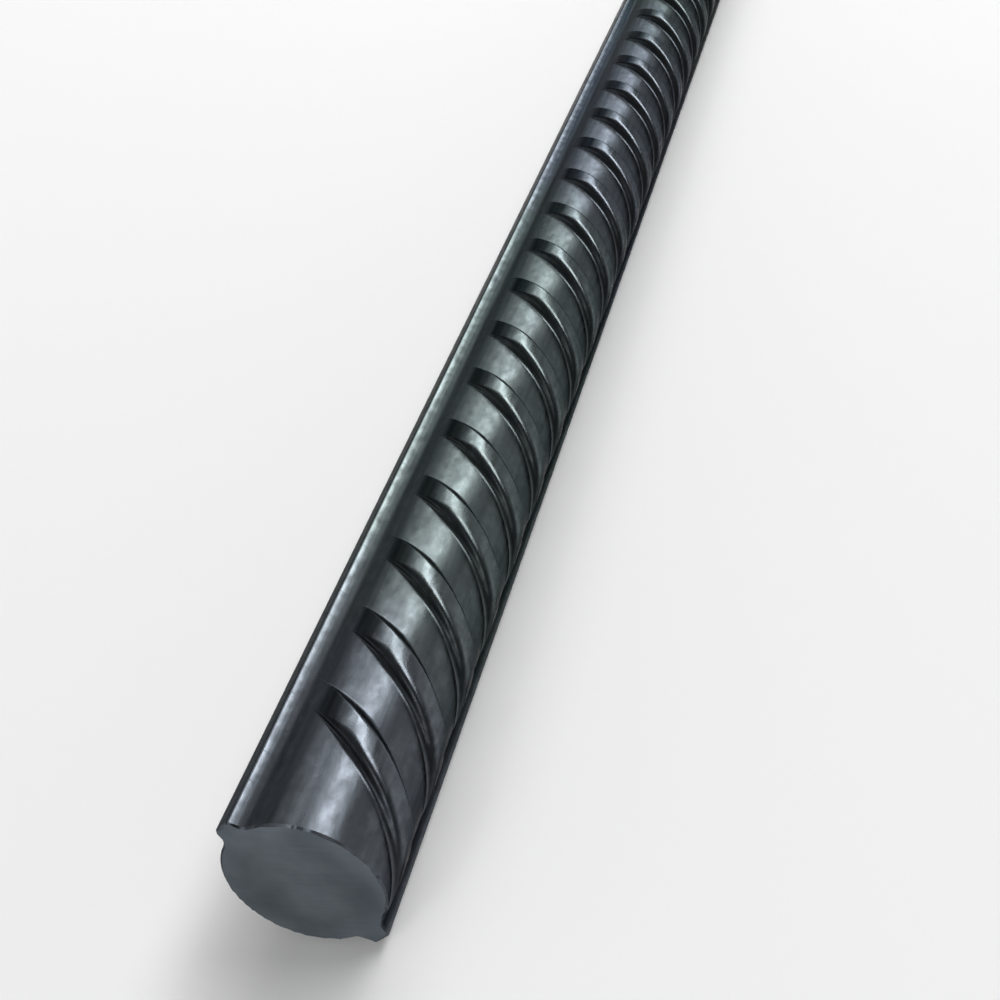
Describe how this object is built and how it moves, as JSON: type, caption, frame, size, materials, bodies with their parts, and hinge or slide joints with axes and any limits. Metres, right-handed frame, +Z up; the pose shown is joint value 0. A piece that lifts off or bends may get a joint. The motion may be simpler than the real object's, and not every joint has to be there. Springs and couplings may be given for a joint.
{
  "type": "reinforcing bar",
  "caption": "Straight ribbed steel reinforcing bar with a round core, two longitudinal ribs, slanting crescent ribs and square-cut ends.",
  "frame": {"origin": "the point of the ground plane below the middle of the bar", "axes": "+X along the bar's axis, towards the cut end that the picture shows; +Z up, as the bar lies on a level floor"},
  "size_m": [1, 0.0244, 0.0244],
  "materials": {
    "mill_scale_steel": "satin"
  },
  "bodies": {
    "root": {"bar": "mill_scale_steel"}
  },
  "joints": []
}
